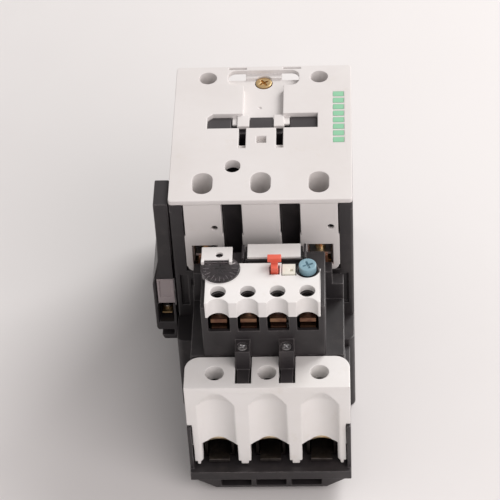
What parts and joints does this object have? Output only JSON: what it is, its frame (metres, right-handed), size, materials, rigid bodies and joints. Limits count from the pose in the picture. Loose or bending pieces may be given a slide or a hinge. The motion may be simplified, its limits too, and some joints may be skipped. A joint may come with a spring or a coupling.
{
  "type": "magnetic motor starter",
  "caption": "Magnetic motor starter: a pole contactor with a side contact block, joined by copper tabs to a thermal overload relay with dial, stop and reset buttons.",
  "frame": {"origin": "centre of the four panel holes, on the back face", "axes": "+X to the right across the poles, +Y up the panel from the relay to the line terminals, +Z out of the panel to the front"},
  "size_m": [0.096, 0.1812, 0.125],
  "materials": {
    "black_plastic": "fine moulded texture",
    "cover_grey": "fine moulded texture",
    "cover_white": "satin moulded",
    "marker_green": "satin",
    "brass": "brushed",
    "zinc_steel": "zinc plated",
    "spring_steel": "drawn wire",
    "copper": "bare copper",
    "winding_tape": "varnished tape",
    "rubber_pad": "matte",
    "bobbin_plastic": "matte",
    "carrier_plastic": "matte",
    "slider_plastic": "matte",
    "side_grey": "matte",
    "dial_plastic": "gloss",
    "smoky_clear": "clear, smoky",
    "red_plastic": "satin",
    "blue_plastic": "satin",
    "cream_plastic": "satin"
  },
  "bodies": {
    "housing": {"base_housing": "black_plastic", "contact_housing": "black_plastic", "front_cover": "cover_grey", "marker_strip": "marker_green", "line_terminals": "brass", "load_terminals": "brass", "line_clamps": "zinc_steel", "load_clamps": "zinc_steel", "line_screws": "brass", "load_screws": "brass", "arc_plates": "zinc_steel", "fixed_core": "zinc_steel", "shading_rings": "copper", "core_pad": "rubber_pad", "coil_bobbin": "bobbin_plastic", "coil_winding": "winding_tape", "coil_terminals": "brass", "coil_screws": "zinc_steel", "return_springs": "spring_steel", "rail_spring": "spring_steel", "housing_screws": "zinc_steel", "side_housing": "black_plastic", "side_cover": "side_grey", "side_terminals": "brass", "side_screws": "zinc_steel", "relay_base": "black_plastic", "relay_casing": "black_plastic", "power_cover": "cover_white", "control_cover": "cover_white", "relay_tabs": "copper", "heater_bimetals": "zinc_steel", "heater_windings": "copper", "power_terminals": "brass", "power_clamps": "brass", "power_screws": "brass", "control_terminals": "brass", "control_clamps": "brass", "control_screws": "zinc_steel", "casing_screws": "zinc_steel", "label_strip": "cover_white", "dial_plate": "cover_white", "stop_spring": "spring_steel", "reset_spring": "spring_steel"},
    "contact_carrier": {"contact_carrier": "carrier_plastic", "moving_contacts": "copper", "contact_springs": "spring_steel", "armature": "zinc_steel", "armature_pin": "zinc_steel"},
    "side_slide": {"side_slide": "slider_plastic", "side_bridges": "copper"},
    "rail_clip": {"rail_clip": "black_plastic"},
    "dial": {"dial": "dial_plastic"},
    "dial_window": {"dial_window": "smoky_clear"},
    "stop_button": {"stop_button": "red_plastic"},
    "reset_stem": {"reset_stem": "black_plastic"},
    "reset_button": {"reset_button": "blue_plastic"},
    "trip_bar": {"trip_bar": "slider_plastic"},
    "trip_lever": {"trip_lever": "slider_plastic", "trip_contact": "copper"},
    "test_slide": {"test_slide": "cream_plastic"}
  },
  "joints": [
    {"name": "carrier_slide", "type": "slide", "parent": "housing", "child": "contact_carrier", "axis": [0, 0, -1], "range_m": [0, 0.005], "stiffness_N_per_m": 1500, "springref_m": -0.006, "deforming": ["return_springs"]},
    {"name": "side_slide_move", "type": "slide", "parent": "housing", "child": "side_slide", "axis": [0, 0, -1], "range_m": [0, 0.005]},
    {"name": "rail_clip_slide", "type": "slide", "parent": "housing", "child": "rail_clip", "axis": [0, -1, 0], "range_m": [0, 0.003], "stiffness_N_per_m": 1500, "springref_m": -0.002, "deforming": ["rail_spring"]},
    {"name": "dial_turn", "type": "hinge", "parent": "housing", "child": "dial", "pos_m": [-0.0184, -0.072, 0.102], "axis": [0, 0, 1], "range_deg": [-135, 135]},
    {"name": "window_lift", "type": "hinge", "parent": "housing", "child": "dial_window", "pos_m": [-0.0201, -0.069, 0.107], "axis": [-1, 0, 0], "range_deg": [0, 95]},
    {"name": "stop_press", "type": "slide", "parent": "housing", "child": "stop_button", "axis": [0, 0, -1], "range_m": [0, 0.0024], "stiffness_N_per_m": 300, "springref_m": -0.001, "deforming": ["stop_spring"]},
    {"name": "reset_press", "type": "slide", "parent": "housing", "child": "reset_stem", "axis": [0, 0, -1], "range_m": [0, 0.002], "stiffness_N_per_m": 400, "springref_m": -0.001, "deforming": ["reset_spring"]},
    {"name": "reset_turn", "type": "hinge", "parent": "reset_stem", "child": "reset_button", "pos_m": [0.0216, -0.0726, 0.1055], "axis": [0, 0, 1], "range_deg": [0, 90]},
    {"name": "trip_slide", "type": "slide", "parent": "housing", "child": "trip_bar", "axis": [1, 0, 0], "range_m": [0, 0.002], "stiffness_N_per_m": 200, "springref_m": -0.001},
    {"name": "trip_turn", "type": "hinge", "parent": "housing", "child": "trip_lever", "pos_m": [0.0122, -0.079, 0.08], "axis": [0, -1, 0], "range_deg": [0, 8]},
    {"name": "test_slide_move", "type": "slide", "parent": "housing", "child": "test_slide", "axis": [0, 1, 0], "range_m": [0, 0.001], "stiffness_N_per_m": 300, "springref_m": -0.0005}
  ],
  "couplings": [
    {"joint": "side_slide_move", "follows": "carrier_slide", "ratio": 1},
    {"joint": "trip_turn", "follows": "trip_slide", "rad_per_m": 65.789}
  ]
}
